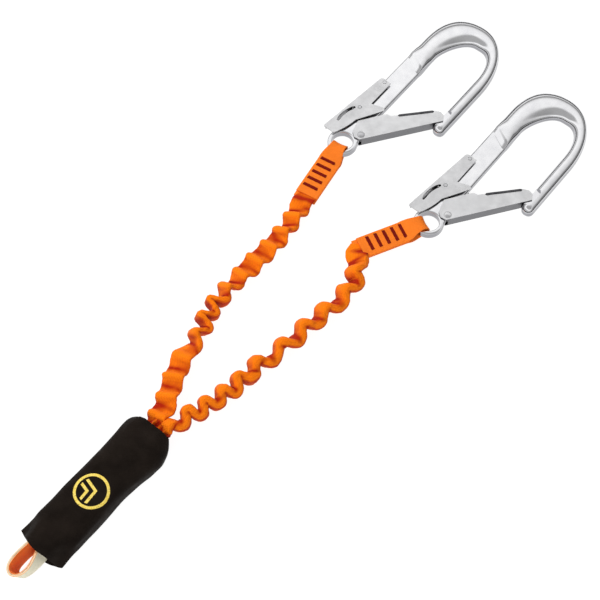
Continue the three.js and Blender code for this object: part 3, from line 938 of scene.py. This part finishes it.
def add_hook_body(side, first=None):
    """The forging, or a copy of the first one's mesh drawn round the ring centre."""
    name = f"{side}_forging"
    if first is None:
        body = spine_plate(name)
        cut(body, [cylinder("tool", 0, 0, 14.6, -12, 12, 96)])
        cut(body, [ring_lug("tool")], "UNION")
        cut(body, [crown_loft("tool")], "UNION")
        tools = [
            cylinder("pivot", *GATE_PIVOT, 2.8, -10, 10),
            cylinder("lever_pivot", *LEVER_PIVOT, 2.6, -10, 10),
            prism("stop_room", [(-30, 96), (-9.4, 96), (-9.4, 102), (-30, 102)], -10, 10),
        ]
        pocket = [(62, 89), (78.4, 89), (79.8, 92), (79.8, 111), (78, 114.5), (62, 114.5)]
        tools.append(prism("pocket_up", pocket, POCKET_FLOOR, 12))
        tools.append(prism("pocket_down", pocket, -12, -POCKET_FLOOR))
        cut(body, tools)
    else:
        body = add_object(name, first.copy())
    placed(body, side)
    shade(body, 32)
    flat_faces_first(body)
    finish_piece(body, "polished", f"{side}_hook", [f"{side}_hook_body"])


def add_hooks():
    add_hook_body("left")
    left = bpy.data.objects["left_forging"]
    drawn = left.data.copy()
    back = ring_centre("left") * MM
    for vertex in drawn.vertices:
        vertex.co = vertex.co - Vector(back)
    add_hook_body("right", drawn)


add_hooks()


def soften_cad(node, finish, width):
    """A CAD node keeps its shape and gets softened edges and a material of its own."""
    made = frame["nodes"][node]
    made.data.materials.clear()
    made.data.materials.append(MATERIALS[finish])
    for polygon in made.data.polygons:
        polygon.use_smooth = True
    merge = made.modifiers.new("merge", "WELD")
    merge.merge_threshold = 1e-6
    flat = made.modifiers.new("flat", "DECIMATE")
    flat.decimate_type = "DISSOLVE"
    flat.angle_limit = math.radians(1)
    bevel = made.modifiers.new("edges", "BEVEL")
    bevel.width = width * MM
    bevel.segments = 2
    bevel.limit_method = "ANGLE"
    bevel.angle_limit = math.radians(35)
    flat_faces_first(made)


def add_gate_hems(side):
    """The rolled edge along the gate's inner side, above and below, painted near black as painted
    shade.
    """
    turn = math.radians(GATE_ANGLE)
    c, s = math.cos(turn), math.sin(turn)
    px, py = GATE_PIVOT
    edge = [(51, 15.1), (60, 14.1), (72, 12.6), (90, 10.5), (95, 9.7)]
    for label, height in (("upper", HEM_HEIGHT), ("lower", -HEM_HEIGHT)):
        line = smooth_line([(px + a * c - b * s, py + a * s + b * c, height) for a, b in edge], 1)
        share = np.linspace(0, 1, len(line))
        radius = HEM_RADIUS * np.sqrt(np.clip(np.minimum(share, 1 - share) * 30, 0.02, 1))
        made = ribbon(f"{side}_gate_hem_{label}", line, np.tile(UP, (len(line), 1)),
                      radius * 0.95, radius, power=2, sides=16)
        placed(made, side)
        finish_piece(made, "hem", f"{side}_gate")


for each in SIDES:
    add_gate_hems(each)
    soften_cad(f"{each}_gate", "sheet", 0.35)
    soften_cad(f"{each}_lever", "lever", 0.35)
    for part in ("gate_rivet", "lever_rivet", "lever_stop_rivet", "lever_guide_pin"):
        soften_cad(f"{each}_{part}", "steel", 0.25)
    for part in ("gate_spring", "lever_spring"):
        soften_cad(f"{each}_{part}", "steel", 0.1)


# ---------------------------------------------------------------- absorber pack

def through(points, value):
    """A smooth curve through (place, value) points that doesn't overshoot much."""
    places, values = (np.array(v, float) for v in zip(*points))
    slopes = np.gradient(values, places)
    i = int(np.clip(np.searchsorted(places, value) - 1, 0, len(places) - 2))
    gap = places[i + 1] - places[i]
    t = np.clip((value - places[i]) / gap, 0, 1)
    return ((2 * t ** 3 - 3 * t ** 2 + 1) * values[i] + (t ** 3 - 2 * t ** 2 + t) * gap * slopes[i]
            + (3 * t ** 2 - 2 * t ** 3) * values[i + 1] + (t ** 3 - t ** 2) * gap * slopes[i + 1])


def pack_ring(y, inset):
    """One ring of the soft sleeve at a station y, drawn in by the wall's thickness."""
    left = through([(PACK_LOW, -58), (-394, -57), (-378, -56), (-340, -54.2), (-300, -53.6),
                    (-262, -54.6), (-248, -55), (-240, -54.4), (-235, -52), (-232, -48.6),
                    (PACK_HIGH, -45)], y)
    right = through([(PACK_LOW, -0.6), (-380, -0.6), (-330, -0.6), (-305, -0.2), (-288, 1.6),
                     (-274, 4.0), (-262, 5.2), (-252, 4.6), (-243, 2.0), (-236, -2.0),
                     (PACK_HIGH, -6.5)], y)
    top = through([(PACK_LOW, 31.8), (-395, 33), (-370, 34), (-262, 34), (-250, 33.2),
                   (-240, 31.6), (PACK_HIGH, 29.4)], y)
    low = through([(PACK_LOW, 0.6), (-395, 0), (-250, 0), (-240, 0.8), (PACK_HIGH, 3.4)], y)
    pointed = 1 - smoothstep(y, PACK_LOW, -374)
    section = superellipse(72, 3.2 - 1.2 * pointed)
    half_x = (right - left) / 2 - inset
    half_z = (top - low) / 2 - inset
    x = (left + right) / 2 + section[:, 0] * half_x
    z = (top + low) / 2 + section[:, 1] * half_z
    pressed_right = pointed * 0.72 * smoothstep(x, -17, -5)
    pressed_left = pointed * 0.8 * smoothstep(-x, 42, 54)
    z = z + (7.0 - z) * pressed_right + (15.5 - z) * pressed_left
    side = section[:, 0]
    rim = 1 - smoothstep(y, PACK_LOW, -352)
    shift = rim * np.where(side < 0, 7.5 * np.abs(side) ** 1.4, 6.5 * np.abs(side) ** 2.2)
    return np.column_stack([x, y + shift, z])


def wrinkled_pack(rings):
    """Soft creases: long ones down the sides and short ones that gather at the leg mouth."""
    out = rings.copy()
    for i, ring in enumerate(rings):
        y = ring[:, 1].mean()
        mouth = smoothstep(y, -275, -238)
        middle = ring.mean(axis=0)
        for k, point in enumerate(ring):
            away = point - middle
            away[1] = 0
            length = max(np.linalg.norm(away), 1e-6)
            spot = Vector((point[0] * 0.05, point[1] * 0.018, point[2] * 0.06))
            push = 1.1 * noise.noise(spot) + 0.5 * noise.noise(spot * 2.9)
            angle = math.atan2(away[2], away[0])
            push += mouth * 0.7 * math.sin(9 * angle + 2.0 * noise.noise(spot * 2))
            bulge = math.exp(-((y + 262) / 14) ** 2) * max(0, math.cos(angle)) ** 2
            push += 0.35 * bulge * math.sin(0.3 * (point[1] + 0.8 * point[2]))
            if point[2] < 6 and away[2] < 0:
                push = min(push, 0)
            out[i, k] = point + away / length * push
    out[:, :, 2] = np.maximum(out[:, :, 2], 0.05)
    return out


def add_pack():
    """The sleeve: an outer skin, and an inner one a wall's thickness inside it."""
    stations = np.concatenate([
        [PACK_LOW, -405.2, -403.5, -401, -398], np.linspace(-394, -264, 66),
        np.linspace(-262, -236, 18), [-234.6, -233.3, -232.2, -231.2, -230.6],
    ])
    outer = wrinkled_pack(np.array([pack_ring(y, 0) for y in stations]))
    inner_stations = stations[::-1][2:-2:3]
    inner = np.array([pack_ring(y, PACK_WALL) for y in inner_stations])
    inner[0, :, 1] = outer[-1, :, 1] - 0.6
    inner[-1, :, 1] = outer[0, :, 1] + 0.8
    made = loft("pack_sleeve", np.concatenate([outer, inner]), closed=True)
    finish_piece(made, "pack", "pack", ["pack_cover"])


add_pack()


# ---------------------------------------------------------------- harness loop

def loop_line(reach_far, reach_near, tip):
    """The band seen from above: the far wall, the bend and the near wall, back into the pack."""
    return smooth_line([
        (-36.5, -376), (-37.6, -392), (-38.6 - reach_far, -404), (-39.6 - reach_far, -416),
        (-39.2 - reach_far, -426), (-36.0 - reach_far * 0.6, -433 - tip * 0.7),
        (-30.0, -435.6 - tip), (-24.2 + reach_near * 0.6, -432.0 - tip * 0.7),
        (-21.6 + reach_near, -424), (-22 + reach_near, -414), (-23.6 + reach_near, -403),
        (-25.0 + reach_near, -390), (-26, -376),
    ], 0.8)


def band_on_edge(name, line, half_thick):
    """A band standing on its long edge. Its upper edge leans out on the far wall, at the bend
    and on the near wall beside it, and in on the near wall by the pack."""
    share = np.linspace(0, 1, len(line))
    far = -0.12 * smoothstep(share, 0.08, 0.26) * (1 - smoothstep(share, 0.36, 0.52))
    near = 0.1 * smoothstep(share, 0.5, 0.6) - 0.3 * smoothstep(share, 0.6, 0.82)
    bend = -0.3 * np.exp(-((share - 0.5) / 0.13) ** 2)
    wide = np.column_stack([far + near, bend, np.ones(len(line))])
    centres = np.column_stack([line, np.full(len(line), BAND_MIDDLE)])
    return ribbon(name, centres, wide, BAND_HALF_WIDE, half_thick, power=6, sides=36, crumple=0.18)


def add_harness_loop():
    outer = band_on_edge("harness_band", loop_line(0, 0, 0), 1.05)
    finish_piece(outer, "cream_band", "pack", ["harness_loop"])
    inner = band_on_edge("harness_band_lining", loop_line(-1.95, -1.95, -1.95), 0.8)
    finish_piece(inner, "lining", "pack", ["harness_loop_lining"])


add_harness_loop()


# ---------------------------------------------------------------- inside the pack

def pleated(made, middle, low, high, pitch, depth):
    """Draws the upper side down into uneven pleats from low to high along Y, and stores painted
    shade in their hollows, growing from low to high, as fold_shade."""
    layer = made.data.attributes.new("fold_shade", "FLOAT", "POINT")
    for vertex, stored in zip(made.data.vertices, layer.data):
        x, y, z = vertex.co / MM
        share = smoothstep(y, low, high)
        across = x + 2.4 * noise.noise(Vector((x * 0.1, y * 0.14, 0)))
        down = share * (0.5 - 0.5 * math.sin(2 * math.pi * across / pitch))
        if z > middle:
            vertex.co.z -= depth * down * MM
        # Painted shade in the pleat hollows.
        stored.value = 1.3 * down + 0.35 * share - 0.25
    made.data.update()


def add_yoke():
    """The doubled tab that both legs are sewn to. It gathers in pleats outside the mouth."""
    y = np.linspace(TAB_LOW, TAB_HIGH, TAB_STATIONS)
    gathered = smoothstep(y, -244, -228)
    centres = np.column_stack([TAB_X - 1.5 * gathered, y, np.full(TAB_STATIONS, TAB_Z)])
    wide = np.tile([1.0, 0, 0], (TAB_STATIONS, 1))
    end = 1 - 0.5 * smoothstep(y, -226, TAB_HIGH)
    made = ribbon("leg_tab", centres, wide, (15 - 1.5 * gathered) * (0.6 + 0.4 * end),
                  (5.5 + 1.6 * gathered) * end, power=4, sides=96, crumple=0.3 + 1.4 * gathered)
    pleated(made, TAB_Z, low=-240, high=-229, pitch=8.5, depth=5.0)
    finish_piece(made, "leg", "pack", ["leg_yoke"])


add_yoke()
soften_cad("tear_webbing", "cream", 0.5)
for part in ("keeper_band_lower", "keeper_band_upper"):
    soften_cad(part, "rubber", 0.3)
for part in ("harness_loop_tack_1", "harness_loop_tack_2", "leg_yoke_tack_1", "leg_yoke_tack_2"):
    soften_cad(part, "thread", 0.3)


# ---------------------------------------------------------------- studio

def add_floor():
    corners = [(FLOOR_HALF * x, FLOOR_HALF * y, 0) for x, y in ((-1, -1), (1, -1), (1, 1), (-1, 1))]
    mesh = bpy.data.meshes.new("floor")
    mesh.from_pydata(corners, [], [(0, 1, 2, 3)])
    floor = add_object("floor", mesh)
    floor.location.z = FLOOR_Z
    mesh.materials.append(floor_material())


def add_light(name, place, size, power):
    """A soft square light aimed at the lanyard's middle. Metal doesn't mirror it."""
    data = bpy.data.lights.new(name, "AREA")
    data.shape = "SQUARE"
    data.size = size
    data.energy = power
    light = bpy.data.objects.new(name, data)
    bpy.context.scene.collection.objects.link(light)
    light.location = place
    aim = Vector((0, -0.02, 0)) - Vector(place)
    light.rotation_euler = aim.to_track_quat("-Z", "Y").to_euler()
    light.visible_glossy = False


def make_world():
    """A studio: bands of light and dark by height, dimmer on the camera's right, for the metal."""
    world = bpy.data.worlds.new("studio")
    world.use_nodes = True
    nodes, links = world.node_tree.nodes, world.node_tree.links
    place = nodes.new("ShaderNodeTexCoord")
    split = nodes.new("ShaderNodeSeparateXYZ")
    ramp = nodes.new("ShaderNodeValToRGB")
    links.new(place.outputs["Generated"], split.inputs[0])
    links.new(split.outputs["Z"], ramp.inputs["Fac"])
    links.new(ramp.outputs["Color"], nodes["Background"].inputs["Color"])
    aside = nodes.new("ShaderNodeVectorMath")
    aside.operation = "DOT_PRODUCT"
    azimuth = math.radians(CAMERA_AZIMUTH)
    aside.inputs[1].default_value = (math.cos(azimuth), math.sin(azimuth), 0)
    links.new(place.outputs["Generated"], aside.inputs[0])
    dimmer = nodes.new("ShaderNodeMapRange")
    for socket, number in zip(RANGE_SOCKETS, (0.1, 0.9, 1.1, 0.4)):
        dimmer.inputs[socket].default_value = number
    links.new(aside.outputs["Value"], dimmer.inputs["Value"])
    links.new(dimmer.outputs["Result"], nodes["Background"].inputs["Strength"])
    stops = [(0.0, 0.12), (0.14, 0.06), (0.28, 0.14), (0.4, 1.1), (0.54, 0.14), (0.65, 0.95),
             (0.74, 1.1), (0.85, 1.06), (0.9, 0.44), (1.0, 0.44)]
    elements = ramp.color_ramp.elements
    elements.remove(elements[1])
    for position, grey in stops:
        element = elements.new(position) if position else elements[0]
        element.color = rgb(grey, grey, grey)
    bpy.context.scene.world = world
    bpy.context.scene.view_settings.view_transform = "Standard"


add_floor()
add_light("key", (-1.35, 0.2, 1.05), 1.1, 18.5)
add_light("fill", (0.9, -1.1, 1.1), 1.2, 8.5)
make_world()
